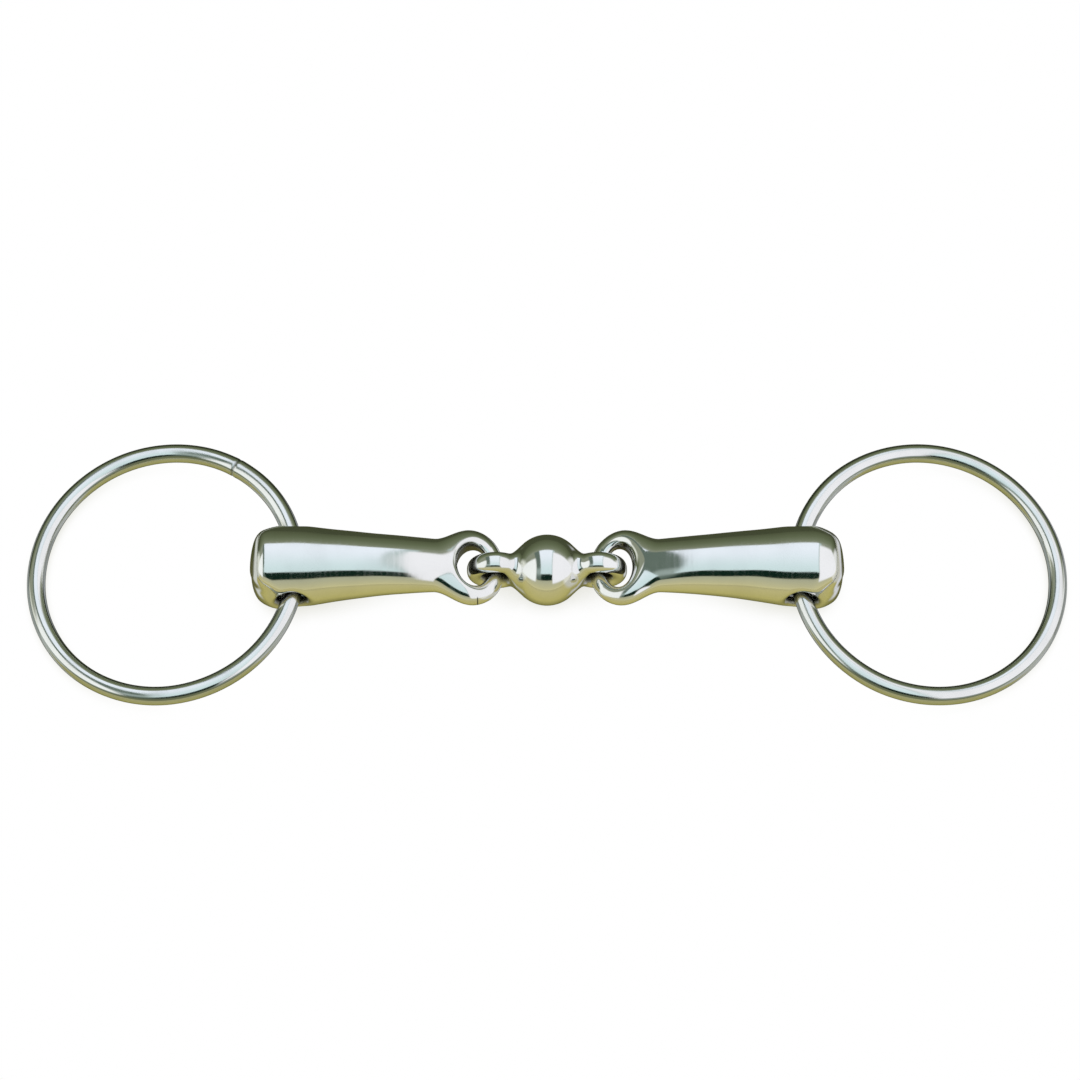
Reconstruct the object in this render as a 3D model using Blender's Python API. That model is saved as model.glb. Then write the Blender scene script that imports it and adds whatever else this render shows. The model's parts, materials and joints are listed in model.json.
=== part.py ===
"""Loose-ring snaffle bit, double jointed: two hollow mouthpiece arms, a ball link and two rings.

The bit is laid out on a level surface, z = 0. X runs along the mouthpiece, with the ball of the
link at x = 0, and the ring holes run along Y. The arms and the link are chained eye through eye,
so each arm folds about the bar at the tip of its own eye. Each ring swings about its hole.
Lengths are in millimetres and are turned into metres where a mesh or an object is made.
"""

import math

import bmesh
import bpy
import numpy as np

MM = 0.001

# Link: a ball with a ring-shaped eye on each side, both eyes standing in the XZ plane
BALL_RADIUS = 9.1
LINK_EYE_REACH = 13.2
LINK_EYE_OUTER_RADIUS = 7.3
LINK_EYE_INNER_RADIUS = 3.0
LINK_EYE_THICKNESS = 5.2
LINK_EYE_SQUARENESS = 2.5
FLANK_ANGLE = math.radians(47)
NECK_RADIUS = 3.4

# Arm: lengths count outwards from the middle of the bar at the tip of its eye
ARM_REACH = 51.9
ARM_LENGTH = 63.0
ARM_BIG_RADIUS = 10.9
ARM_TAPER = 0.138
ARM_NECK_RADIUS = 6.75
NECK_BLEND = 1.2
DOME_DEPTH = 10.2
DOME_FULLNESS = 2.3
DOME_HEIGHT_FULLNESS = 3.2
END_FLAT_RADIUS = 3.0
ARCH_HEIGHT = 2.4
ARCH_SKEW = 0.35

# Eye of the arm: a flat oval around an oval hole, lying in the arm's own XY plane
EYE_MIDDLE = 6.4
EYE_HALF_LENGTH = 8.75
EYE_HOLE_MIDDLE = 6.15
EYE_HALF_WIDTH = 10.2
EYE_HALF_THICKNESS = 3.1
EYE_FLARE_LENGTH = 9.5
TIP_BAR_RADIUS = 2.35
EYE_HOLE_HALF_LENGTH = 3.9
EYE_HOLE_HALF_WIDTH = 5.6
EYE_HOLE_LAND = 0.4
EYE_RIM_RADIUS = 2.6
EYE_SQUARENESS = 4.0
THICKENING_START = 5.0
THICKENING_END = 25.0
ROUNDING_END = 17.0

# Ring hole through the thick end, and the cavity inside the arm
RING_HOLE_RADIUS = 3.75
RING_HOLE_LAND = 9.6
RING_HOLE_RIM_RADIUS = 1.9
RIM_BEND_SHARE = 0.62
WALL = 2.5
CAVITY_START = 19.0
CAVITY_NOSE_LENGTH = 4.0

# Ring: a hoop of round wire
RING_OUTER_DIAMETER = 72.4
WIRE_RADIUS = 2.4
WIRE_INSET = 0.81

STEEL_COLOR = (0.74, 0.75, 0.72, 1.0)
SHARP_EDGE = math.radians(50)

# Corners of the cross-sections, and the number of sections
ARM_CORNERS = 32
CAVITY_CORNERS = 20
RING_HOLE_CORNERS = 24
BALL_CORNERS = 32
BALL_SECTIONS = 8
LINK_EYE_CORNERS = 12
LINK_EYE_SECTIONS = 32
WIRE_CORNERS = 12
RING_SECTIONS = 64

RING_HOOP_RADIUS = RING_OUTER_DIAMETER / 2 - WIRE_RADIUS
RING_MIDDLE = RING_HOOP_RADIUS - WIRE_INSET
DOME_START = ARM_LENGTH - DOME_DEPTH


def smoothstep(start, end, x):
    t = min(max((x - start) / (end - start), 0.0), 1.0)
    return t * t * (3 - 2 * t)


def smooth_max(a, b, width):
    """The larger of two lengths, with the corner between them rounded over this width."""
    h = max(width - abs(a - b), 0.0) / width
    return max(a, b) + h * h * width / 4


# The arm's outline


def arch(u):
    """Height of the arm's centre line, a low arch from the tip bar to the ring hole."""
    t = u / ARM_REACH
    return ARCH_HEIGHT * 4 * t * (1 - t) * (1 + ARCH_SKEW * (1 - 2 * t))


def dome_share(u, fullness):
    """What is left of the shaft's radius in the dome, whose outline is a superellipse."""
    depth = min(max(u - DOME_START, 0.0) / DOME_DEPTH, 1.0)
    return (1 - depth**fullness) ** (1 / fullness)


def shaft_radius(u):
    """Radius of the arm's round shaft, neck and taper, carried on straight through the dome."""
    taper = ARM_BIG_RADIUS - ARM_TAPER * (DOME_START - u)
    return smooth_max(min(taper, ARM_BIG_RADIUS), ARM_NECK_RADIUS, NECK_BLEND)


def half_width(u):
    """Half the arm's width along Y: the oval eye, flowing into the shaft."""
    if u < EYE_MIDDLE:
        return EYE_HALF_WIDTH * math.sqrt(1 - ((u - EYE_MIDDLE) / EYE_HALF_LENGTH) ** 2)
    share = min((u - EYE_MIDDLE) / EYE_FLARE_LENGTH, 1.0)
    flare = (EYE_HALF_WIDTH - shaft_radius(u)) * (1 - share**2) ** 2
    return (shaft_radius(u) + flare) * dome_share(u, DOME_FULLNESS)


def half_height(u):
    """Half the arm's height along Z: a rounded tip bar, a flat eye, then the shaft."""
    if u < 0:
        return TIP_BAR_RADIUS * math.sqrt(max(1 - (u / (EYE_MIDDLE - EYE_HALF_LENGTH)) ** 2, 0.0))
    flat = TIP_BAR_RADIUS + (EYE_HALF_THICKNESS - TIP_BAR_RADIUS) * smoothstep(0, EYE_MIDDLE, u)
    thick = flat + (shaft_radius(u) - flat) * smoothstep(THICKENING_START, THICKENING_END, u)
    return thick * dome_share(u, DOME_HEIGHT_FULLNESS)


def squareness(u):
    """Exponent of the arm's cross-section: flat-sided at the eye, round on the shaft."""
    return EYE_SQUARENESS + (2 - EYE_SQUARENESS) * smoothstep(THICKENING_START, ROUNDING_END, u)


# Mesh helpers


def full_turn(count):
    """Evenly spaced angles round a circle."""
    return [2 * math.pi * i / count for i in range(count)]


def oval(half_y, half_z, exponent, count):
    """Points of a closed superellipse in the YZ plane."""
    points = []
    for angle in full_turn(count):
        c, s = math.cos(angle), math.sin(angle)
        y = half_y * math.copysign(abs(c) ** (2 / exponent), c)
        z = half_z * math.copysign(abs(s) ** (2 / exponent), s)
        points.append((y, z))
    return points


def skin(sections, closed=False):
    """A mesh through a row of sections with equal point counts, capped at both ends unless closed."""
    bm = bmesh.new()
    rows = [[bm.verts.new([c * MM for c in point]) for point in section] for section in sections]
    pairs = list(zip(rows, rows[1:]))
    if closed:
        pairs.append((rows[-1], rows[0]))
    else:
        bm.faces.new(rows[0])
        bm.faces.new(rows[-1])
    for near, far in pairs:
        for i in range(len(near)):
            j = (i + 1) % len(near)
            bm.faces.new((near[i], near[j], far[j], far[i]))
    bmesh.ops.recalc_face_normals(bm, faces=bm.faces)
    if bm.calc_volume(signed=True) < 0:
        bmesh.ops.reverse_faces(bm, faces=bm.faces)
    mesh = bpy.data.meshes.new("skin")
    bm.to_mesh(mesh)
    bm.free()
    return mesh


def steel(name, roughness):
    material = bpy.data.materials.new(name)
    material.use_nodes = True
    shader = material.node_tree.nodes["Principled BSDF"]
    shader.inputs["Base Color"].default_value = STEEL_COLOR
    shader.inputs["Metallic"].default_value = 1.0
    shader.inputs["Roughness"].default_value = roughness
    return material


def add_object(name, mesh, parent=None, location=(0.0, 0.0, 0.0)):
    obj = bpy.data.objects.new(name, mesh)
    obj.location = [c * MM for c in location]
    obj.parent = parent
    bpy.context.scene.collection.objects.link(obj)
    return obj


def finish_surface(obj, material):
    obj.data.materials.clear()
    obj.data.materials.append(material)
    obj.data.shade_smooth()
    obj.data.set_sharp_from_angle(angle=SHARP_EDGE)


def combine(target, other_name, mesh, operation):
    """Adds or removes a helper shape, which stays on the target as a Boolean modifier."""
    helper = add_object(other_name, mesh, target)
    helper.hide_render = True
    helper.display_type = "WIRE"
    boolean = target.modifiers.new(other_name, "BOOLEAN")
    boolean.operation = operation
    boolean.solver = "EXACT"
    boolean.object = helper


# Arm


def arm_stations():
    """Lengths along the arm at which it has a cross-section, closest where it bends most."""
    eye = [EYE_MIDDLE - EYE_HALF_LENGTH * math.cos(angle) for angle in np.radians(np.linspace(10, 90, 9))]
    flare = EYE_MIDDLE + np.linspace(0.17, 1.0, 7) * EYE_FLARE_LENGTH
    shaft = np.linspace(EYE_MIDDLE + EYE_FLARE_LENGTH, DOME_START, 8)[1:]
    flat_share = END_FLAT_RADIUS / ARM_BIG_RADIUS
    flat_depth = (1 - flat_share**DOME_FULLNESS) ** (1 / DOME_FULLNESS)
    dome = DOME_START + DOME_DEPTH * np.sin(np.linspace(0, math.asin(flat_depth), 8)[1:])
    return [*eye, *flare, *shaft, *dome]


def arm_sections():
    """Cross-sections from the eye's tip to the flat on the domed end."""
    sections = []
    for u in arm_stations():
        outline = oval(half_width(u), half_height(u), squareness(u), ARM_CORNERS)
        sections.append([(u, y, z + arch(u)) for y, z in outline])
    return sections


def cavity_sections():
    """The arm's hollow, one wall's thickness inside the shaft."""
    end = ARM_LENGTH - WALL
    middle, half = (CAVITY_START + end) / 2, (end - CAVITY_START) / 2
    sections = []
    for angle in np.radians(np.linspace(12, 168, 11)):
        u = middle - half * math.cos(angle)
        nose = min((u - CAVITY_START) / CAVITY_NOSE_LENGTH, 1.0)
        outside = min(half_width(u), half_height(u))
        radius = (outside - WALL) * math.sqrt(1 - (1 - nose) ** 2)
        sections.append([(u, y, z + arch(u)) for y, z in oval(radius, radius, 2, CAVITY_CORNERS)])
    return sections


def rim_flare(depth, radius):
    """How far a hole has opened at this depth into a rounded rim: an arc, then its tangent."""
    if depth <= 0:
        return 0.0
    bend = min(depth, RIM_BEND_SHARE * radius)
    slope = bend / math.sqrt(radius**2 - bend**2)
    return radius - math.sqrt(radius**2 - bend**2) + (depth - bend) * slope


def both_sides(steps):
    """The steps as negative values, then as positive ones."""
    return [-step for step in reversed(steps)] + list(steps)


def eye_hole_sections():
    """Cutter for the oval hole: narrowest at mid-height, opening to both faces."""
    sections = []
    for z in both_sides((EYE_HOLE_LAND, 1.1, 1.7, 2.4, 8.0)):
        flare = rim_flare(abs(z) - EYE_HOLE_LAND, EYE_RIM_RADIUS)
        section = []
        for angle in full_turn(ARM_CORNERS):
            x = EYE_HOLE_MIDDLE + (EYE_HOLE_HALF_LENGTH + flare) * math.cos(angle)
            y = (EYE_HOLE_HALF_WIDTH + flare) * math.sin(angle)
            section.append((x, y, z + arch(x)))
        sections.append(section)
    return sections


def ring_hole_sections():
    """Cutter for the ring hole along Y, with rounded mouths."""
    sections = []
    for y in both_sides((RING_HOLE_LAND, 10.4, 11.2, 13.0)):
        radius = RING_HOLE_RADIUS + rim_flare(abs(y) - RING_HOLE_LAND, RING_HOLE_RIM_RADIUS)
        section = []
        for angle in full_turn(RING_HOLE_CORNERS):
            section.append((ARM_REACH + radius * math.cos(angle), y, radius * math.sin(angle)))
        sections.append(section)
    return sections


def rest_lift():
    """Angle at which the arm's thick end just stands on the surface, with the ball on it too."""
    stations = np.linspace(20, ARM_LENGTH - 0.5, 200)

    def lowest(angle):
        heights = []
        for u in stations:
            under = arch(u) - half_height(u)
            heights.append(BALL_RADIUS + u * math.sin(angle) + under * math.cos(angle))
        return min(heights)

    low, high = math.radians(-5), math.radians(10)
    for _ in range(40):
        middle = (low + high) / 2
        low, high = (low, middle) if lowest(middle) > 0 else (middle, high)
    return high


def build_arm(side, fold_axis, meshes, material):
    arm = add_object(side + "_mouthpiece_arm", meshes["arm"], fold_axis)
    combine(arm, side + "_cavity", meshes["cavity"], "DIFFERENCE")
    combine(arm, side + "_eye_hole", meshes["eye_hole"], "DIFFERENCE")
    combine(arm, side + "_ring_hole", meshes["ring_hole"], "DIFFERENCE")
    finish_surface(arm, material)


# Ring


def ring_sections():
    """The ring's wire, carried round its middle from the side that lies in the hole."""
    sections = []
    for turn in full_turn(RING_SECTIONS):
        section = []
        for angle in full_turn(WIRE_CORNERS):
            reach = RING_HOOP_RADIUS + WIRE_RADIUS * math.cos(angle)
            x = RING_MIDDLE - reach * math.cos(turn)
            section.append((x, reach * math.sin(turn), WIRE_RADIUS * math.sin(angle)))
        sections.append(section)
    return sections


def ring_droop(lift):
    """Angle below level at which the ring's far side meets the surface."""
    hole_height = BALL_RADIUS + ARM_REACH * math.sin(lift)
    return math.asin((hole_height - WIRE_RADIUS) / (RING_MIDDLE + RING_HOOP_RADIUS))


def build_ring(side, swivel_axis, mesh, material):
    ring = add_object(side + "_ring", mesh, swivel_axis)
    finish_surface(ring, material)


# Link


def ball_sections():
    """The ball and its two necks, turned about X: round, with a straight flank to each neck."""
    flank_x = BALL_RADIUS * math.cos(FLANK_ANGLE)
    flank_r = BALL_RADIUS * math.sin(FLANK_ANGLE)
    slope = flank_x / flank_r
    neck_x = flank_x + (flank_r - NECK_RADIUS) / slope
    half = [(neck_x, NECK_RADIUS)]
    for angle in np.linspace(FLANK_ANGLE, math.pi / 2, BALL_SECTIONS):
        half.append((BALL_RADIUS * math.cos(angle), BALL_RADIUS * math.sin(angle)))
    profile = half + [(-x, r) for x, r in reversed(half[:-1])]
    return [[(x, y, z) for y, z in oval(r, r, 2, BALL_CORNERS)] for x, r in profile]


def link_eye_sections(side_sign):
    """A rounded square section carried round the eye's own hole."""
    middle = (LINK_EYE_OUTER_RADIUS + LINK_EYE_INNER_RADIUS) / 2
    half_bar = (LINK_EYE_OUTER_RADIUS - LINK_EYE_INNER_RADIUS) / 2
    bar = oval(LINK_EYE_THICKNESS / 2, half_bar, LINK_EYE_SQUARENESS, LINK_EYE_CORNERS)
    sections = []
    for turn in full_turn(LINK_EYE_SECTIONS):
        section = []
        for y, out in bar:
            reach = middle + out
            x = side_sign * LINK_EYE_REACH + reach * math.cos(turn)
            section.append((x, y, reach * math.sin(turn)))
        sections.append(section)
    return sections


def build_link(material):
    link = add_object("center_link", skin(ball_sections()), None, (0, 0, BALL_RADIUS))
    for side, sign in (("left", -1), ("right", 1)):
        combine(link, side + "_link_eye", skin(link_eye_sections(sign), closed=True), "UNION")
    finish_surface(link, material)


# Assembly


def add_axis(name, parent, location, rotation):
    """An empty whose local Y is a joint's axis."""
    axis = add_object(name, None, parent, location)
    axis.rotation_euler = rotation
    axis.empty_display_size = 10 * MM
    return axis


def build_side(side, turn, meshes, materials):
    """One arm and its ring. Both sides share their meshes: the left is the right turned half round."""
    lift = rest_lift()
    place = (LINK_EYE_REACH * math.cos(turn), 0, BALL_RADIUS)
    fold_axis = add_axis(side + "_fold_axis", None, place, (0, -lift, turn))
    build_arm(side, fold_axis, meshes, materials["arm"])
    swing = (0, lift + ring_droop(lift), 0)
    swivel_axis = add_axis(side + "_swivel_axis", fold_axis, (ARM_REACH, 0, 0), swing)
    build_ring(side, swivel_axis, meshes["ring"], materials["ring"])


def main():
    for obj in list(bpy.data.objects):
        bpy.data.objects.remove(obj)
    materials = {
        "arm": steel("mouthpiece_steel", 0.10),
        "ring": steel("ring_steel", 0.14),
        "link": steel("link_steel", 0.10),
    }
    meshes = {
        "arm": skin(arm_sections()),
        "cavity": skin(cavity_sections()),
        "eye_hole": skin(eye_hole_sections()),
        "ring_hole": skin(ring_hole_sections()),
        "ring": skin(ring_sections(), closed=True),
    }
    build_link(materials["link"])
    build_side("right", 0.0, meshes, materials)
    build_side("left", math.pi, meshes, materials)


main()
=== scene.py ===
"""Loose-ring snaffle bit: the fine surfaces, steels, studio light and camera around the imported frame.

Each fine piece is made in the local frame of its CAD node, and its mesh is then placed by the
joints' positions. Shape functions work in millimetres: an arm's u counts outwards from its fold
axis, y lies along that axis and z completes the frame. Meshes are made in metres.
"""

import json
import math

import bpy
import numpy as np
from mathutils import Matrix, Vector


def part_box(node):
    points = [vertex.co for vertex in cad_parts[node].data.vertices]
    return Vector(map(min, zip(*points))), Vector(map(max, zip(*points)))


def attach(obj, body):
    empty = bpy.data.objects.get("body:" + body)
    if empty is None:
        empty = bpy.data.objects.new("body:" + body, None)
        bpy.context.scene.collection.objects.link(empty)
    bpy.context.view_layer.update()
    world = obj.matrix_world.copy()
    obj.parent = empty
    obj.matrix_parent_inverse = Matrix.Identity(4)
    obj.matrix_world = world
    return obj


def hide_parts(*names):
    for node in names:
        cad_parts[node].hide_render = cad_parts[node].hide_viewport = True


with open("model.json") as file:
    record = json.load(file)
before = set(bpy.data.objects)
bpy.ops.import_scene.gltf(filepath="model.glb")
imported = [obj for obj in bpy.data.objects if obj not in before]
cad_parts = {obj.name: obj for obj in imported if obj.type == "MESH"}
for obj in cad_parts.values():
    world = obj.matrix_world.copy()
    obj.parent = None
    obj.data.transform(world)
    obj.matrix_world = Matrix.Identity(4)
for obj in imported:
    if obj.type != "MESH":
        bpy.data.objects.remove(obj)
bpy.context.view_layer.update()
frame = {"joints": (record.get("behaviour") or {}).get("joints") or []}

MM = 0.001

# Link
LINK_EYE_OUTER_RADIUS = 7.3
LINK_EYE_INNER_RADIUS = 3.0
LINK_EYE_THICKNESS = 5.2
LINK_EYE_SQUARENESS = 2.3
LINK_EYE_CLEARANCE = 0.7
FLANK_ANGLE = math.radians(47)
BALL_CUT_BLEND = 2.0
NECK_BLEND = 2.0

# Arm
ARM_LENGTH = 63.0
ARM_BIG_RADIUS = 10.9
ARM_TAPER = 0.138
ARM_NECK_RADIUS = 6.75
ARM_NECK_BLEND = 3.0
ARM_SHOULDER_BLEND = 0.8
DOME_DEPTH = 10.2
DOME_FULLNESS = 2.3
DOME_TOP_FULLNESS = 2.0
DOME_UNDER_FULLNESS = 3.2
END_BLEND = 1.6
END_FACE_RADIUS = 28.0
END_FLAT_RADIUS = 3.0
ARCH_HEIGHT = 2.4
ARCH_SKEW = 0.35
DOME_START = ARM_LENGTH - DOME_DEPTH

# Eye of the arm, and the wedge that runs from it into the shaft
EYE_MIDDLE = 6.4
EYE_HALF_LENGTH = 8.75
EYE_HALF_WIDTH = 10.2
EYE_FLARE_LENGTH = 9.5
EYE_POWER = 2.15
EYE_EDGE_ROUNDING = 4.2
ROUND_START = 4.0
ROUND_FULL = 16.0
TIP_BAR_RADIUS = 2.35
WEDGE_START = 1.2
WEDGE_SLOPE = 0.19
WEDGE_BLEND = 2.0
EYE_HOLE_START = 2.2
EYE_HOLE_HALF_WIDTH = 5.5
TIP_BAR_BLEND = 3.8

# Ring hole and the hollow inside the arm
RING_HOLE_RADIUS = 3.75
RING_HOLE_BLEND = 2.8
WALL = 2.5
CAVITY_START = 19.0
CAVITY_NOSE_LENGTH = 5.0
CAVITY_BLEND = 0.6

# Ring, and the dressed weld that closes it: a low swelling with a fine groove
WIRE_RADIUS = 2.4
WIRE_SLACK = 0.02
WELD_SWELLING = 0.05
WELD_SWELLING_LENGTH = 1.6
WELD_GROOVE = 0.14
WELD_GROOVE_LENGTH = 0.3
WIRE_WOBBLES = ((0.012, 5, 2), (0.01, 9, -1))

# What hand finishing left different on the two sides: each dome's ridge, each eye hole, each weld
SIDES = {
    "left": {
        "phase": 0.9,
        "dome": {"start": 4.56, "length": 8.67},
        "eye_hole": {"end": 9.95, "blend": 1.7},
        "weld_turn": math.radians(238),
    },
    "right": {
        "phase": 3.7,
        "dome": {"start": 7.6, "length": 11.1},
        "eye_hole": {"end": 8.7, "blend": 3.4},
        "weld_turn": math.radians(180),
    },
}

# A fine seam across the rim of the left arm's eye, in metres
SEAM_X = -0.0177
SEAM_HALF_WIDTH = 0.00014
SEAM_Y = -0.0087

# Waves left in the metal by hand polishing
POLISH_WAVE_HEIGHT = 0.012
POLISH_WAVE_LENGTHS = (17.0, 12.5, 9.5, 7.5)
LINK_WAVE_PHASE = 0.4
LINK_WAVE_SHARE = 0.7

# Steel, and the scales of its fine polishing lines: rings round the X axis, and lines in level planes
STEEL_COLOR = (0.80, 0.80, 0.775, 1.0)
STEEL_ROUGHNESS = 0.075
WIRE_COLOR = (0.79, 0.79, 0.765, 1.0)
WIRE_ROUGHNESS = 0.12
ROUND_X = (1400.0, 60.0, 60.0)
LEVEL = (60.0, 60.0, 1400.0)
SMEAR_SCALE = 95.0
SPECK_SCALE = 260.0
SPECK_COLOR = (0.20, 0.19, 0.16, 1.0)
# Near black: painted shade in the holes' rims and the link's eyes, and the dark weld and seam lines
SHADE_AND_GRIME_COLOR = (0.03, 0.03, 0.02, 1.0)

# Mesh spacing, and the box that an arm is searched for in
ARM_STEP = 0.36
ARM_LOW = (-3.2, -11.6, -12.2)
ARM_HIGH = (64.0, 11.6, 14.2)
LINK_STEP = 0.28
RING_SECTIONS = 900
WIRE_CORNERS = 40


# Places, read from the frame


def joint_point(name):
    joint = next(j for j in frame["joints"] if j["name"] == name)
    return Vector(joint["pos_m"])


def frame_matrix(origin, out):
    """A frame at this point whose X runs along out, in the XZ plane of the row."""
    x = out.normalized()
    y = Vector((0, math.copysign(1, x.x), 0))
    z = x.cross(y)
    matrix = Matrix((x, y, z)).transposed().to_4x4()
    matrix.translation = origin
    return matrix


def box_middle(node):
    low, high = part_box(node)
    return (low + high) / 2


LINK_LOW, LINK_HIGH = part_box("center_link")
BALL_RADIUS = (LINK_HIGH.z - LINK_LOW.z) / 2 / MM
LINK_EYE_REACH = joint_point("right_fold").x / MM
ARM_REACH = (joint_point("right_ring_swivel") - joint_point("right_fold")).length / MM
RING_LOW, RING_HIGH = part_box("right_ring")
RING_HOOP_RADIUS = (RING_HIGH.y - RING_LOW.y) / 2 / MM - WIRE_RADIUS


# Shape functions


def smoothstep(start, end, x):
    t = np.clip((x - start) / (end - start), 0, 1)
    return t * t * (3 - 2 * t)


def join(a, b, width):
    """Union of two fields, with the corner between them filled over this width."""
    h = np.maximum(width - np.abs(a - b), 0) / width
    return np.minimum(a, b) - h * h * width / 4


def cut(a, b, width):
    """Field a with field b taken away, and the rim rounded over this width."""
    return -join(-a, b, width)


def ellipse(x, y, half_x, half_y):
    """Near-true distance to an ellipse."""
    q = np.sqrt((x / half_x) ** 2 + (y / half_y) ** 2) + 1e-9
    slope = np.sqrt((x / half_x**2) ** 2 + (y / half_y**2) ** 2) / q + 1e-9
    return (q - 1) / slope


def waves(x, y, z, phase):
    """Low, slow waves in a polished surface."""
    total = 0
    for i, length in enumerate(POLISH_WAVE_LENGTHS):
        turn = phase + 2.4 * i
        along = x * math.cos(turn) + y * math.sin(turn) * 0.8 + z * math.sin(turn * 1.7) * 0.8
        total = total + np.sin(2 * math.pi * along / length + 1.3 * turn)
    return POLISH_WAVE_HEIGHT * total


def arch(u):
    """Height of the arm's centre line, a low arch from the tip bar to the ring hole."""
    t = u / ARM_REACH
    return ARCH_HEIGHT * 4 * t * (1 - t) * (1 + ARCH_SKEW * (1 - 2 * t))


def shaft_radius(u):
    taper = ARM_BIG_RADIUS - ARM_TAPER * (DOME_START - u)
    thick = -join(-taper, -ARM_NECK_RADIUS, ARM_NECK_BLEND)
    return join(thick, ARM_BIG_RADIUS, ARM_SHOULDER_BLEND)


def half_width(u):
    """Half the arm's width from the middle of the eye outwards, without the dome."""
    share = np.clip((u - EYE_MIDDLE) / EYE_FLARE_LENGTH, 0, 1)
    radius = shaft_radius(u)
    return radius + (EYE_HALF_WIDTH - radius) * (1 - share**2) ** 2


def half_height(u):
    """Half the arm's height: a level tip bar, a straight wedge, then the shaft."""
    wedge = TIP_BAR_RADIUS + WEDGE_SLOPE * np.maximum(u - WEDGE_START, 0)
    return join(wedge, shaft_radius(u), WEDGE_BLEND)


def outline_distance(u, y):
    """Distance outside the arm's outline, seen square on to the eye."""
    oval = ellipse(u - EYE_MIDDLE, y, EYE_HALF_LENGTH, EYE_HALF_WIDTH)
    reach = 0.05
    slope = (half_width(u + reach) - half_width(u - reach)) / (2 * reach)
    side = (np.abs(y) - half_width(u)) / np.sqrt(1 + slope**2)
    return np.where(u < EYE_MIDDLE, oval, side)


def body_field(u, y, z, dome):
    """The arm without its holes: flat oval eye, wedge, round shaft and domed end with a flat."""
    roundness = smoothstep(ROUND_START, ROUND_FULL, u)
    rounding = EYE_EDGE_ROUNDING + (half_width(u) - EYE_EDGE_ROUNDING) * roundness
    power = EYE_POWER + (2 - EYE_POWER) * roundness
    height = half_height(u)
    share = np.maximum(1 + outline_distance(u, y) / rounding, 0)
    level = np.abs(z) / height
    across = (share**power + level**power) ** (1 / power) + 1e-6
    slope = np.hypot(
        (share / across) ** (power - 1) / rounding,
        (level / across) ** (power - 1) / height,
    )

    lean = smoothstep(0.1, 0.8, z**2 / (y**2 + z**2 + 1e-6))
    top = z > 0
    start = DOME_DEPTH + np.where(top, dome["start"] - DOME_DEPTH, 0) * lean
    length = DOME_DEPTH + np.where(top, dome["length"] - DOME_DEPTH, 0) * lean
    leaned_fullness = np.where(top, DOME_TOP_FULLNESS, DOME_UNDER_FULLNESS)
    fullness = DOME_FULLNESS + (leaned_fullness - DOME_FULLNESS) * lean
    depth = np.maximum(u - ARM_LENGTH + start, 0) / length
    whole = (across**fullness + depth**fullness) ** (1 / fullness)
    slope = np.hypot(
        (across / whole) ** (fullness - 1) * slope,
        (depth / whole) ** (fullness - 1) / length,
    )
    body = (whole - 1) / np.maximum(slope, 0.02)

    flat_share = END_FLAT_RADIUS / ARM_BIG_RADIUS
    end = DOME_START + DOME_DEPTH * (1 - flat_share**DOME_FULLNESS) ** (1 / DOME_FULLNESS)
    bulge = (y**2 + z**2) / (2 * END_FACE_RADIUS)
    return -join(-body, end - bulge - u, END_BLEND)


def cavity_field(u, y, z):
    """The arm's hollow, one wall's thickness inside its surface."""
    radius = np.maximum(half_height(u) - WALL, 1.0)
    nose = np.maximum(CAVITY_START + CAVITY_NOSE_LENGTH - u, 0) / CAVITY_NOSE_LENGTH
    depth = np.maximum(u - DOME_START, 0) / (DOME_DEPTH - WALL)
    end = np.maximum(nose, depth)
    across = np.sqrt(y**2 + z**2) / radius
    whole = (across**DOME_FULLNESS + end**DOME_FULLNESS) ** (1 / DOME_FULLNESS)
    return (whole - 1) * radius


def ring_hole_distance(u, z):
    return np.sqrt((u - ARM_REACH) ** 2 + z**2) - RING_HOLE_RADIUS


def eye_hole_distance(u, y, end):
    half = (end - EYE_HOLE_START) / 2
    return ellipse(u - EYE_HOLE_START - half, y, half, EYE_HOLE_HALF_WIDTH)


def arm_field(arm):
    def field(u, y, z):
        w = z - arch(u)
        body = body_field(u, y, w, arm["dome"]) + waves(u, y, z, arm["phase"])
        hole = arm["eye_hole"]
        blend = TIP_BAR_BLEND + (hole["blend"] - TIP_BAR_BLEND) * smoothstep(1.5, 9.0, u)
        body = cut(body, eye_hole_distance(u, y, hole["end"]), blend)
        body = cut(body, ring_hole_distance(u, z), RING_HOLE_BLEND)
        return cut(body, cavity_field(u, y, w), CAVITY_BLEND)

    return field


def ball_field(x, y, z):
    """The ball with a straight flank towards each eye."""
    along, radius = np.abs(x), np.sqrt(y**2 + z**2)
    ball = np.sqrt(along**2 + radius**2) - BALL_RADIUS
    flank = along * math.cos(FLANK_ANGLE) + radius * math.sin(FLANK_ANGLE) - BALL_RADIUS
    return np.where(radius > along * math.tan(FLANK_ANGLE), ball, flank)


def link_field(x, y, z):
    """The ball, joined to a rounded ring on each side."""
    from_hole = np.sqrt((np.abs(x) - LINK_EYE_REACH) ** 2 + z**2)
    bar = (LINK_EYE_OUTER_RADIUS - LINK_EYE_INNER_RADIUS) / 2
    middle = (LINK_EYE_OUTER_RADIUS + LINK_EYE_INNER_RADIUS) / 2
    power = LINK_EYE_SQUARENESS
    out = np.abs(from_hole - middle) / bar
    side = np.abs(y) / (LINK_EYE_THICKNESS / 2)
    eye = ((out**power + side**power) ** (1 / power) - 1) * bar
    clear = from_hole - LINK_EYE_INNER_RADIUS - LINK_EYE_CLEARANCE
    ball = cut(ball_field(x, y, z), clear, BALL_CUT_BLEND)
    return join(ball, eye, NECK_BLEND) + waves(x, y, z, LINK_WAVE_PHASE) * LINK_WAVE_SHARE


# Meshes


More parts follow.
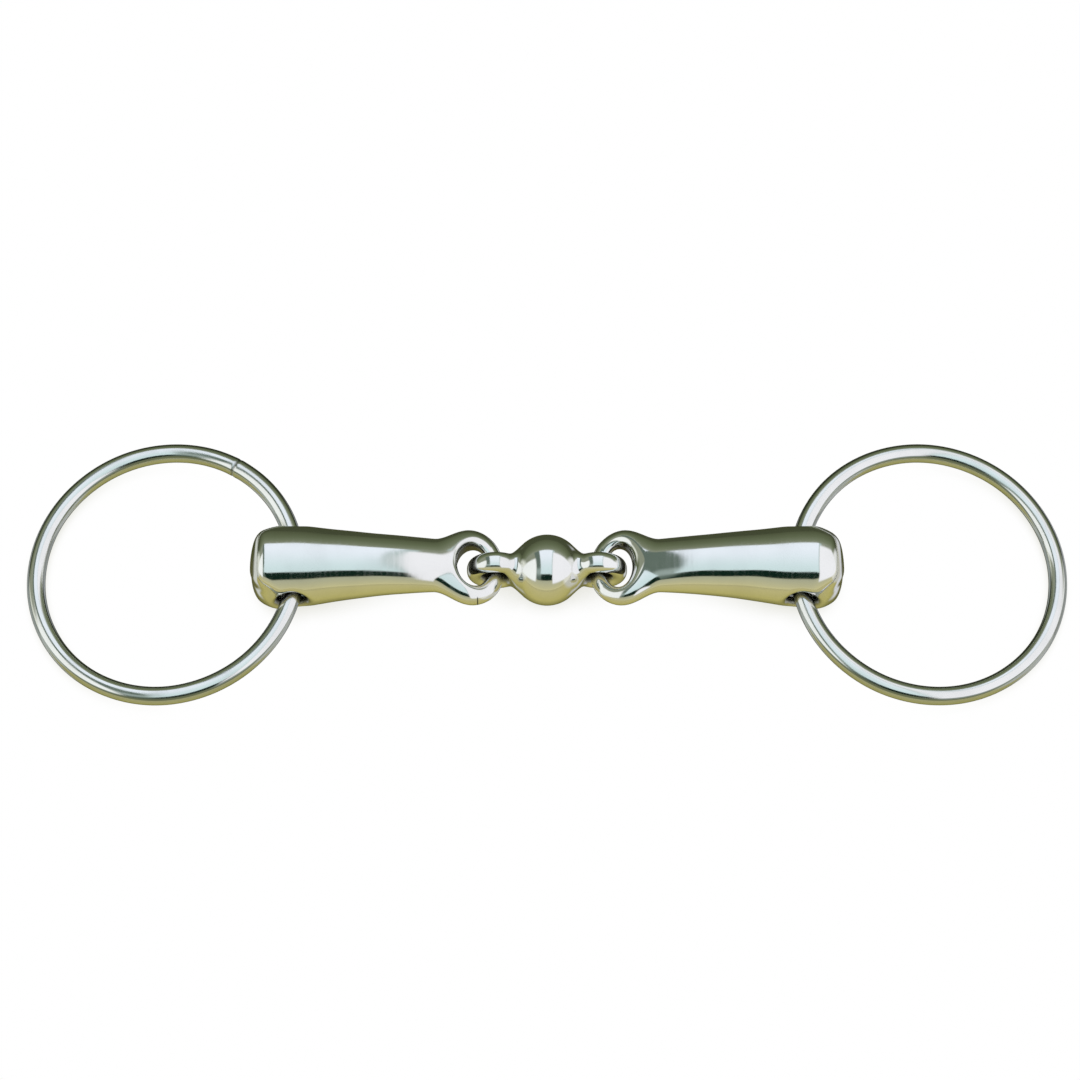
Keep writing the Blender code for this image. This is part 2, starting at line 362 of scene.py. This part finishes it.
def crossings(values, axes, along):
    """Where the surface crosses the grid's edges along one axis: a mask and the three coordinates."""
    near = [slice(None)] * 3
    far = [slice(None)] * 3
    near[along], far[along] = slice(None, -1), slice(1, None)
    a, b = values[tuple(near)], values[tuple(far)]
    mask = (a < 0) != (b < 0)
    share = np.where(mask, a / np.where(mask, a - b, 1), 0)
    grid = np.meshgrid(*axes, indexing="ij")
    step = axes[along][1] - axes[along][0]
    points = [g[tuple(near)] for g in grid]
    points[along] = points[along] + share * step
    return mask, a < 0, points


def net(field, low, high, step):
    """Vertices and quads of the field's zero surface, one vertex in each cell that it crosses."""
    axes = [np.arange(l, h + step, step) for l, h in zip(low, high)]
    values = field(*np.meshgrid(*axes, indexing="ij"))
    cells = tuple(n - 1 for n in values.shape)
    total = np.zeros((3, *cells))
    count = np.zeros(cells)
    edges = []
    for along in range(3):
        mask, inside, points = crossings(values, axes, along)
        edges.append((mask, inside))
        others = [a for a in range(3) if a != along]
        for first in (0, 1):
            for second in (0, 1):
                window = [slice(None)] * 3
                window[others[0]] = slice(first, first + cells[others[0]])
                window[others[1]] = slice(second, second + cells[others[1]])
                part = mask[tuple(window)]
                count += part
                for c in range(3):
                    total[c] += np.where(part, points[c][tuple(window)], 0)
    used = count > 0
    vertices = (total[:, used] / count[used]).T
    index = np.full(cells, -1)
    index[used] = np.arange(len(vertices))
    return vertices, np.concatenate([quads(index, *edges[a], a) for a in range(3)])


def quads(index, mask, inside, along):
    """A quad round each crossed edge, facing the outside."""
    first, second = (along + 1) % 3, (along + 2) % 3
    places = np.argwhere(mask)
    inner = (places[:, first] > 0) & (places[:, second] > 0)
    inner &= places[:, first] < index.shape[first]
    inner &= places[:, second] < index.shape[second]
    places = places[inner]
    corners = []
    for back_first, back_second in ((1, 1), (0, 1), (0, 0), (1, 0)):
        cell = places.copy()
        cell[:, first] -= back_first
        cell[:, second] -= back_second
        corners.append(index[tuple(cell.T)])
    faces = np.stack(corners, axis=1)
    outward = inside[tuple(places.T)]
    return np.where(outward[:, None], faces, faces[:, ::-1])


def gradient(field, points):
    reach = 0.02
    slopes = []
    for axis in range(3):
        shift = np.zeros(3)
        shift[axis] = reach
        slopes.append((field(*(points + shift).T) - field(*(points - shift).T)) / (2 * reach))
    return np.stack(slopes, axis=1)


def settle(field, points, rounds=4):
    """Moves the points onto the field's zero surface, and gives its normals there."""
    for _ in range(rounds):
        slope = gradient(field, points)
        steep = np.maximum((slope**2).sum(axis=1), 1e-6)
        step = slope * (field(*points.T) / steep)[:, None]
        points = points - np.clip(step, -0.3, 0.3)
    slope = gradient(field, points)
    return points, slope / np.linalg.norm(slope, axis=1)[:, None]


def mesh_object(name, points, faces, normals, matrix, recess):
    """A smooth mesh at its resting place, with its recesses marked from 0 to 1 for painted shade and dark
    weld lines.
    """
    turn = np.array(matrix.to_3x3())
    placed = points * MM @ turn.T + np.array(matrix.translation)
    mesh = bpy.data.meshes.new(name)
    mesh.from_pydata(placed.tolist(), [], faces.tolist())
    mesh.update()
    mesh.shade_smooth()
    mesh.normals_split_custom_set_from_vertices((normals @ turn.T).tolist())
    mesh.attributes.new("recess", "FLOAT", "POINT").data.foreach_set("value", recess)
    obj = bpy.data.objects.new(name, mesh)
    bpy.context.scene.collection.objects.link(obj)
    return obj


def build_arm(name, matrix, arm):
    field = arm_field(arm)
    rough, faces = net(field, ARM_LOW, ARM_HIGH, ARM_STEP)
    points, normals = settle(field, rough)
    u, y, z = points.T
    # The rims of the ring hole and the eye hole are marked for painted shade.
    mouth = 1 - smoothstep(-0.2, 1.5, ring_hole_distance(u, z))
    eye = 1 - smoothstep(-0.1, 0.8, eye_hole_distance(u, y, arm["eye_hole"]["end"]))
    recess = np.maximum(mouth, eye)
    return mesh_object(name, points, faces, normals, matrix, recess)


def build_link(name, matrix):
    reach = LINK_EYE_REACH + LINK_EYE_OUTER_RADIUS + 1
    side = BALL_RADIUS + 1
    rough, faces = net(link_field, (-reach, -side, -side), (reach, side, side), LINK_STEP)
    points, normals = settle(link_field, rough)
    x, y, z = points.T
    # The rims of the eye holes are marked for painted shade.
    from_hole = np.sqrt((np.abs(x) - LINK_EYE_REACH) ** 2 + z**2)
    recess = 1 - smoothstep(LINK_EYE_INNER_RADIUS, LINK_EYE_INNER_RADIUS + 1.2, from_hole)
    return mesh_object(name, points, faces, normals, matrix, recess)


def build_ring(name, matrix, weld_turn):
    """A hoop of round wire, with the dressed weld where its ends meet."""
    turns = np.linspace(0, 2 * math.pi, RING_SECTIONS, endpoint=False)
    angles = np.linspace(0, 2 * math.pi, WIRE_CORNERS, endpoint=False)
    turn, angle = np.meshgrid(turns, angles, indexing="ij")
    from_weld = (turn - weld_turn + math.pi) % (2 * math.pi) - math.pi
    from_weld = from_weld * RING_HOOP_RADIUS
    weld = WELD_SWELLING * np.exp(-((from_weld / WELD_SWELLING_LENGTH) ** 2))
    weld -= WELD_GROOVE * np.exp(-((from_weld / WELD_GROOVE_LENGTH) ** 2))
    wobble = sum(height * np.sin(a * turn + b * angle) for height, a, b in WIRE_WOBBLES)
    radius = WIRE_RADIUS - WIRE_SLACK + weld + wobble
    reach = RING_HOOP_RADIUS + radius * np.cos(angle)
    points = np.stack([reach * np.cos(turn), reach * np.sin(turn), radius * np.sin(angle)], axis=-1)
    along = np.roll(points, -1, axis=0) - np.roll(points, 1, axis=0)
    around = np.roll(points, -1, axis=1) - np.roll(points, 1, axis=1)
    normals = np.cross(along, around)
    normals /= np.linalg.norm(normals, axis=-1)[..., None]
    i, j = np.meshgrid(range(RING_SECTIONS), range(WIRE_CORNERS), indexing="ij")
    next_i, next_j = (i + 1) % RING_SECTIONS, (j + 1) % WIRE_CORNERS
    corners = [i * WIRE_CORNERS + j, next_i * WIRE_CORNERS + j]
    corners += [next_i * WIRE_CORNERS + next_j, i * WIRE_CORNERS + next_j]
    faces = np.stack(corners, axis=-1).reshape(-1, 4)
    recess = 0.6 * np.exp(-((from_weld / 0.35) ** 2)).ravel()
    return mesh_object(name, points.reshape(-1, 3), faces, normals.reshape(-1, 3), matrix, recess)


# Materials


class Nodes:
    """Short forms for adding and joining shader nodes."""

    def __init__(self, tree):
        self.tree = tree

    def add(self, kind, inputs=None, **settings):
        node = self.tree.nodes.new("ShaderNode" + kind)
        for key, value in settings.items():
            setattr(node, key, value)
        for key, value in (inputs or {}).items():
            self.put(value, node.inputs[key])
        return node

    def put(self, value, socket):
        if isinstance(value, bpy.types.NodeSocket):
            self.tree.links.new(value, socket)
        else:
            socket.default_value = value

    def math(self, operation, a, b=0.0, c=0.0):
        node = self.add("Math", {0: a, 1: b, 2: c}, operation=operation)
        return node.outputs[0]

    def times(self, vector, share):
        """A vector or colour times a fixed share for each of its three parts."""
        return self.add("VectorMath", {0: vector, 1: share}, operation="MULTIPLY").outputs[0]

    def mix(self, factor, a, b):
        node = self.add("Mix", {0: factor, 6: a, 7: b}, data_type="RGBA")
        return node.outputs[2]

    def step(self, x, start, end, low=0.0, high=1.0):
        """Rises smoothly from low to high as x goes from start to end."""
        inputs = {0: x, 1: start, 2: end, 3: low, 4: high}
        return self.add("MapRange", inputs, interpolation_type="SMOOTHSTEP").outputs[0]


def linear(red, green, blue, gain=1.0):
    """An sRGB colour, 0 to 255, as linear RGBA."""
    channels = []
    for value in (red, green, blue):
        share = value / 255
        low = share / 12.92
        high = ((share + 0.055) / 1.055) ** 2.4
        channels.append(gain * (low if share <= 0.04045 else high))
    return (*channels, 1.0)


def angles(nodes, direction):
    """How far a direction has risen from the front, and how far it turns to the side, in degrees."""
    x, y, z = nodes.add("SeparateXYZ", {0: direction}).outputs
    front = nodes.math("MULTIPLY", y, -1.0)
    rise = nodes.math("DEGREES", nodes.math("ARCTAN2", z, front))
    level = nodes.math("SQRT", nodes.math("MULTIPLY_ADD", y, y, nodes.math("MULTIPLY", z, z)))
    side = nodes.math("DEGREES", nodes.math("ARCTAN2", x, level))
    return rise, side


def painted_wire_reflection(nodes, tint):
    """Darkens the wire by the direction that it mirrors: a dark near edge, then a grey stretch.

    It is a stand-in for what wire this low mirrors, made for the camera's view, and not light
    transport. A bake of the colour freezes it into patches on the rings.
    """
    rise = angles(nodes, nodes.add("TexCoord").outputs["Reflection"])[0]
    bands = (
        ((3, 36), 6, (0.30, 0.34, 0.30)),
        ((-84, 3), 8, (0.72, 0.76, 0.80)),
        ((-200, -86), 10, (0.45, 0.48, 0.5)),
    )
    for rises, soft, share in bands:
        tint = nodes.mix(soft_box(nodes, rise, *rises, soft), tint, nodes.times(tint, share))
    return tint


def polished_steel(name, color, line_scale, shine, wire=False, seam=False):
    """Polished stainless steel: fine polishing lines, faint smears, specks, and painted shade with dark
    weld and seam lines in the recesses.
    """
    material = bpy.data.materials.new(name)
    material.use_nodes = True
    nodes = Nodes(material.node_tree)
    shader = material.node_tree.nodes["Principled BSDF"]
    place = nodes.add("TexCoord").outputs["Object"]
    stretched = nodes.add("Mapping", {"Vector": place, "Scale": line_scale}).outputs[0]
    lines = nodes.add("TexNoise", {"Vector": stretched, "Scale": 1.0, "Detail": 4.0}).outputs[0]
    smears = nodes.add("TexNoise", {"Vector": place, "Scale": SMEAR_SCALE, "Detail": 3.0}).outputs[0]
    cells = nodes.add("TexVoronoi", {"Vector": place, "Scale": SPECK_SCALE})
    rare = nodes.step(nodes.add("SeparateColor", {0: cells.outputs["Color"]}).outputs[0], 0.975, 0.985)
    speck = nodes.math("MULTIPLY", nodes.step(cells.outputs["Distance"], 0.09, 0.04), rare)
    # Painted shade: the recess mark darkens the holes' rims almost to black. On the rings it marks the
    # weld's dark line, and the seam is a dark joint line.
    recess = nodes.add("Attribute", attribute_name="recess").outputs["Fac"]
    shade_and_grime = nodes.math("MULTIPLY", recess, nodes.step(smears, 0.25, 0.6, 0.75, 1.0))
    if seam:
        x, y = nodes.add("SeparateXYZ", {0: place}).outputs[:2]
        low, high = SEAM_X - SEAM_HALF_WIDTH, SEAM_X + SEAM_HALF_WIDTH
        line = soft_box(nodes, x, low, high, SEAM_HALF_WIDTH)
        near = nodes.step(y, SEAM_Y, SEAM_Y - 0.0005)
        shade_and_grime = nodes.math("MAXIMUM", shade_and_grime, nodes.math("MULTIPLY", line, near))
    duller = [c * 0.94 for c in color[:3]] + [1.0]
    tint = nodes.mix(nodes.step(smears, 0.35, 0.7), color, duller)
    # On the wire, painted reflection bands darken the colour by the direction that it mirrors.
    if wire:
        tint = painted_wire_reflection(nodes, tint)
    tint = nodes.mix(nodes.math("MULTIPLY", speck, 0.4), tint, SPECK_COLOR)
    tint = nodes.mix(nodes.math("MULTIPLY", shade_and_grime, 0.95), tint, SHADE_AND_GRIME_COLOR)
    rough = nodes.step(lines, 0.3, 0.7, shine * 0.75, shine * 1.5)
    rough = nodes.math("ADD", rough, nodes.step(smears, 0.4, 0.75, 0.0, 0.05))
    rough = nodes.math("MULTIPLY_ADD", shade_and_grime, 0.30, rough)
    height = nodes.math("MULTIPLY_ADD", speck, -4.0, lines)
    bump = nodes.add("Bump", {"Strength": 0.10, "Distance": 0.00002, "Height": height}).outputs[0]
    nodes.put(tint, shader.inputs["Base Color"])
    nodes.put(1.0, shader.inputs["Metallic"])
    nodes.put(rough, shader.inputs["Roughness"])
    nodes.put(bump, shader.inputs["Normal"])
    return material


# Studio. The mirrored floor shows FLOOR_MIRRORED of the room's colour, and about FLOOR_SHADED of it
# by light that falls on it, so that it takes shadows.

STEEL_GAIN = 1.28
FLOOR_LIGHT = 2.45
FLOOR_MIRRORED = 0.7
FLOOR_SHADED = 0.07
FLOOR_Z = -0.0002
SHADOW_REACH = 0.01
CONTACT_SHADOW = (0.62, 0.62, 0.52, 1.0)
LAMP_PLACE = (0.2, 0.3, 1.7)
LAMP_SIZE = 2.4
LAMP_POWER = 130.0

# Camera, in metres and millimetres of lens
CAMERA_LENS = 180
CAMERA_RISE = math.radians(66.3)
FRAME_WIDTH = 0.2764
CAMERA_SHIFT_X = -0.0018
CAMERA_SHIFT_UP = 0.0077


def soft_box(nodes, x, low, high, soft):
    """1 between low and high, falling to 0 over this softness at each side."""
    rise = nodes.step(x, low - soft / 2, low + soft / 2)
    fall = nodes.step(x, high - soft / 2, high + soft / 2, 1.0, 0.0)
    return nodes.math("MULTIPLY", rise, fall)


def panel_mask(nodes, rise, side, rises, sides, soft):
    """1 on a panel that spans these angles, falling to 0 over the softness at its edges."""
    height = soft_box(nodes, rise, *rises, soft[0])
    width = soft_box(nodes, side, *sides, soft[1])
    return nodes.math("MULTIPLY", height, width)


def sky_ramp(nodes, angle):
    """The room's colours from straight below, past the front, overhead and the back, to below again."""
    stops = (
        (-180, (78, 85, 62)),
        (-150, (74, 80, 57)),
        (-118, (74, 77, 46)),
        (-90, (138, 134, 76)),
        (-55, (198, 190, 118)),
        (-12, (206, 198, 140)),
        (4, (184, 180, 140)),
        (28, (166, 167, 142)),
        (45, (120, 125, 105)),
        (137, (134, 140, 124)),
        (145, (112, 120, 98)),
        (160, (94, 103, 78)),
        (180, (78, 85, 62)),
    )
    share = nodes.math("DIVIDE", nodes.math("ADD", angle, 180.0), 360.0)
    ramp = nodes.add("ValToRGB", {0: share})
    elements = ramp.color_ramp.elements
    for place, (degrees, color) in enumerate(stops):
        position = (degrees + 180) / 360
        if place < 2:
            element = elements[place]
            element.position = position
        else:
            element = elements.new(position)
        element.color = linear(*color, gain=STEEL_GAIN)
    return ramp.outputs[0]


def room_color(nodes, direction):
    """The studio as the steel mirrors it: soft panels in a dim, warm room, tuned for the camera's view."""
    rise, side = angles(nodes, direction)
    color = sky_ramp(nodes, rise)
    panels = (
        ((-145, -74), (-100, -32), (16, 12), (224, 228, 222)),
        ((-150, -74), (28, 100), (16, 12), (228, 230, 234)),
        ((-200, 200), (-100, -68), (4, 12), (212, 216, 206)),
        ((-200, 200), (62, 100), (4, 12), (222, 224, 224)),
        ((-150, 20), (50, 100), (10, 12), (214, 214, 204)),
        ((32, 53), (-30, 16), (4, 4), (14, 34, 26)),
        ((34, 137), (-35, -19), (6, 4), (92, 106, 98)),
        ((50, 72), (-34, -19), (16, 6), (142, 156, 152)),
        ((24, 112), (-100, -35), (10, 6), (236, 240, 240)),
        ((50, 137), (10, 20), (4, 2), (168, 184, 184)),
        ((20, 130), (16.5, 100), (10, 3), (234, 235, 241)),
    )
    for rises, sides, soft, shade in panels:
        mask = panel_mask(nodes, rise, side, rises, sides, soft)
        color = nodes.mix(mask, color, linear(*shade, gain=STEEL_GAIN))
    overhead = panel_mask(nodes, rise, side, (53, 137), (-21, 14.5), (4, 2))
    near, far = linear(200, 220, 224, gain=STEEL_GAIN), linear(228, 236, 247, gain=STEEL_GAIN)
    return nodes.mix(overhead, color, nodes.mix(nodes.step(rise, 53.0, 125.0), near, far))


def build_world():
    """Soft studio panels around the bit. The camera itself sees a plain white room."""
    world = bpy.data.worlds.new("studio")
    bpy.context.scene.world = world
    world.use_nodes = True
    nodes = Nodes(world.node_tree)
    color = room_color(nodes, nodes.add("TexCoord").outputs["Generated"])
    seen = nodes.add("LightPath").outputs["Is Camera Ray"]
    color = nodes.mix(seen, color, (1.0, 1.0, 1.0, 1.0))
    nodes.put(color, world.node_tree.nodes["Background"].inputs["Color"])


def level_sheet(name, half_x, half_y):
    """A flat sheet just under the bit, with its own plain material."""
    corners = [(-half_x, -half_y, 0), (half_x, -half_y, 0), (half_x, half_y, 0), (-half_x, half_y, 0)]
    mesh = bpy.data.meshes.new(name)
    mesh.from_pydata(corners, [], [(0, 1, 2, 3)])
    sheet = bpy.data.objects.new(name, mesh)
    sheet.location.z = FLOOR_Z
    bpy.context.scene.collection.objects.link(sheet)
    material = bpy.data.materials.new(name + "_paint")
    material.use_nodes = True
    mesh.materials.append(material)
    return sheet, Nodes(material.node_tree)


def build_floor():
    """A clear floor that takes contact shadows, and a sheet that only the steel mirrors.

    What looks like a pale floor is the white room seen through the clear one. An arm that is folded
    down past it shows through it too. The mirrored sheet has the room's colour, with shadows.
    """
    floor, nodes = level_sheet("floor", 3.0, 3.0)
    floor.visible_glossy = False
    near = nodes.add("AmbientOcclusion", {"Distance": SHADOW_REACH}, samples=16).outputs["AO"]
    tint = nodes.mix(nodes.step(near, 0.0, 0.72), CONTACT_SHADOW, (1.0, 1.0, 1.0, 1.0))
    clear = nodes.add("BsdfTransparent", {"Color": tint}).outputs[0]
    nodes.put(clear, nodes.tree.nodes["Material Output"].inputs["Surface"])
    nodes.tree.nodes.remove(nodes.tree.nodes["Principled BSDF"])

    sheet, nodes = level_sheet("mirrored_floor", 0.45, 0.35)
    sheet.visible_camera = False
    sheet.visible_diffuse = False
    sheet.visible_shadow = False
    incoming = nodes.add("NewGeometry").outputs["Incoming"]
    color = room_color(nodes, nodes.times(incoming, (-1.0, -1.0, -1.0)))
    shader = nodes.tree.nodes["Principled BSDF"]
    nodes.put(0.9, shader.inputs["Roughness"])
    nodes.put(0.0, shader.inputs["Specular IOR Level"])
    nodes.put(nodes.times(color, (FLOOR_SHADED / FLOOR_LIGHT,) * 3), shader.inputs["Base Color"])
    nodes.put(color, shader.inputs["Emission Color"])
    nodes.put(FLOOR_MIRRORED - FLOOR_SHADED, shader.inputs["Emission Strength"])


def build_lamp():
    """A soft lamp for the mirrored floor. It points at the ball and isn't mirrored itself."""
    light = bpy.data.lights.new("floor_lamp", "AREA")
    light.shape = "DISK"
    light.size = LAMP_SIZE
    light.energy = LAMP_POWER
    lamp = bpy.data.objects.new("floor_lamp", light)
    lamp.location = LAMP_PLACE
    lamp.rotation_euler = (-lamp.location).to_track_quat("-Z", "Y").to_euler()
    lamp.visible_glossy = False
    lamp.visible_camera = False
    bpy.context.scene.collection.objects.link(lamp)


def build_camera():
    """A long lens above the front, as if the bit lay on a table."""
    camera_data = bpy.data.cameras.new("camera")
    camera_data.lens = CAMERA_LENS
    camera = bpy.data.objects.new("camera", camera_data)
    bpy.context.scene.collection.objects.link(camera)
    back = Vector((0, -math.cos(CAMERA_RISE), math.sin(CAMERA_RISE)))
    up = Vector((0, math.sin(CAMERA_RISE), math.cos(CAMERA_RISE)))
    target = box_middle("center_link") + Vector((1, 0, 0)) * CAMERA_SHIFT_X + up * CAMERA_SHIFT_UP
    distance = FRAME_WIDTH * camera_data.lens / camera_data.sensor_width
    camera.location = target + back * distance
    camera.rotation_euler = (-back).to_track_quat("-Z", "Y").to_euler()
    camera_data.clip_start = 0.05
    camera_data.clip_end = 20
    bpy.context.scene.camera = camera


# Assembly


def place_piece(piece, body, node, material):
    """Gives a piece its material, and lets it stand for a CAD node on that node's body."""
    piece.data.materials.append(material)
    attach(piece, body)
    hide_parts(node)


def build_side(side, arm_steel, ring_steel):
    fold, hole = joint_point(side + "_fold"), joint_point(side + "_ring_swivel")
    arm = build_arm(side + "_mouthpiece_arm_fine", frame_matrix(fold, hole - fold), SIDES[side])
    place_piece(arm, side + "_arm", side + "_mouthpiece_arm", arm_steel)
    middle = box_middle(side + "_ring")
    ring = build_ring(side + "_ring_fine", frame_matrix(middle, middle - hole), SIDES[side]["weld_turn"])
    place_piece(ring, side + "_ring", side + "_ring", ring_steel)


def main():
    arm_steel = polished_steel("mouthpiece_steel_fine", STEEL_COLOR, ROUND_X, STEEL_ROUGHNESS, seam=True)
    link_steel = polished_steel("link_steel_fine", STEEL_COLOR, ROUND_X, STEEL_ROUGHNESS)
    ring_steel = polished_steel("ring_steel_fine", WIRE_COLOR, LEVEL, WIRE_ROUGHNESS, wire=True)
    middle = box_middle("center_link")
    link = build_link("center_link_fine", Matrix.Translation(middle))
    place_piece(link, "center_link", "center_link", link_steel)
    build_side("left", arm_steel, ring_steel)
    build_side("right", arm_steel, ring_steel)
    build_world()
    build_floor()
    build_lamp()
    build_camera()
    bpy.context.scene.view_settings.view_transform = "Standard"


main()
